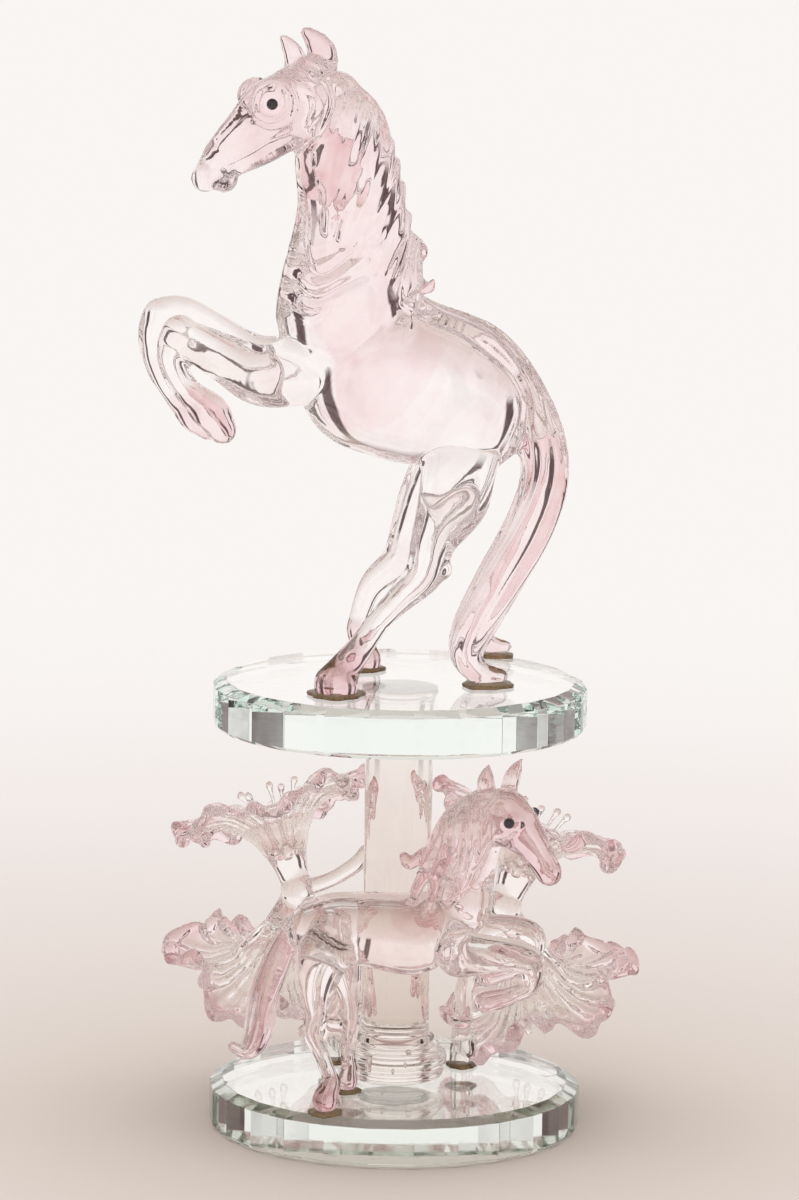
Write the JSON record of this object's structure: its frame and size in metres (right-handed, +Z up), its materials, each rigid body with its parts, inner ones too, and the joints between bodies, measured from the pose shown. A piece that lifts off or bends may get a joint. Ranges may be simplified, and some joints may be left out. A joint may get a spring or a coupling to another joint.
{
  "type": "crystal glass figurine",
  "caption": "Two-tier crystal glass figurine: a rearing horse on an upper faceted disc, carried by a glass column between flower ornaments, with a small horse on the lower disc.",
  "frame": {"origin": "centre of the underside of the lower disc, on the surface it stands on", "axes": "+Z up along the column, +X to the right of the front view (the way the small horse runs), +Y towards the back"},
  "size_m": [0.1026, 0.0818, 0.2366],
  "materials": {
    "clear_glass": "clear flame-polished lampwork glass",
    "pink_glass": "pale pink flame-polished lampwork glass with drawn streaks",
    "disc_crystal": "cut and polished crystal, greenish grey at the rim",
    "mirror_film": "silvered film",
    "clear_glue": "thin clear adhesive film",
    "amber_glue": "hardened amber adhesive",
    "eye_glass": "black glass bead under a clear drop"
  },
  "bodies": {
    "root": {"base_mirror": "mirror_film", "base_disc": "disc_crystal", "foot_glue": "clear_glue", "column_foot": "clear_glass", "column": "clear_glass", "column_top_glue": "clear_glue", "upper_disc": "disc_crystal", "big_horse_body": "clear_glass", "big_horse_neck": "clear_glass", "big_horse_head": "pink_glass", "big_horse_ears": "pink_glass", "big_horse_eyes": "eye_glass", "big_horse_mane": "pink_glass", "big_horse_near_foreleg": "clear_glass", "big_horse_far_foreleg": "clear_glass", "big_horse_front_hooves": "pink_glass", "big_horse_near_hind_leg": "clear_glass", "big_horse_far_hind_leg": "clear_glass", "big_horse_hind_hooves": "pink_glass", "big_horse_near_tail": "pink_glass", "big_horse_far_tail": "pink_glass", "big_horse_glue_pads": "amber_glue", "small_horse_body": "clear_glass", "small_horse_neck": "clear_glass", "small_horse_head": "pink_glass", "small_horse_ears": "pink_glass", "small_horse_eyes": "eye_glass", "small_horse_mane": "pink_glass", "small_horse_near_foreleg": "clear_glass", "small_horse_far_foreleg": "clear_glass", "small_horse_near_hind_leg": "clear_glass", "small_horse_far_hind_leg": "clear_glass", "small_horse_hooves": "pink_glass", "small_horse_tail": "pink_glass", "small_horse_glue_pads": "amber_glue", "right_waist": "clear_glass", "right_stem": "clear_glass", "right_arm": "clear_glass", "right_upper_blossom": "pink_glass", "right_lower_blossom": "pink_glass", "left_waist": "clear_glass", "left_stem": "clear_glass", "left_arm": "clear_glass", "left_upper_blossom": "pink_glass", "left_lower_blossom": "pink_glass", "stem_glue_pads": "amber_glue"}
  },
  "joints": []
}
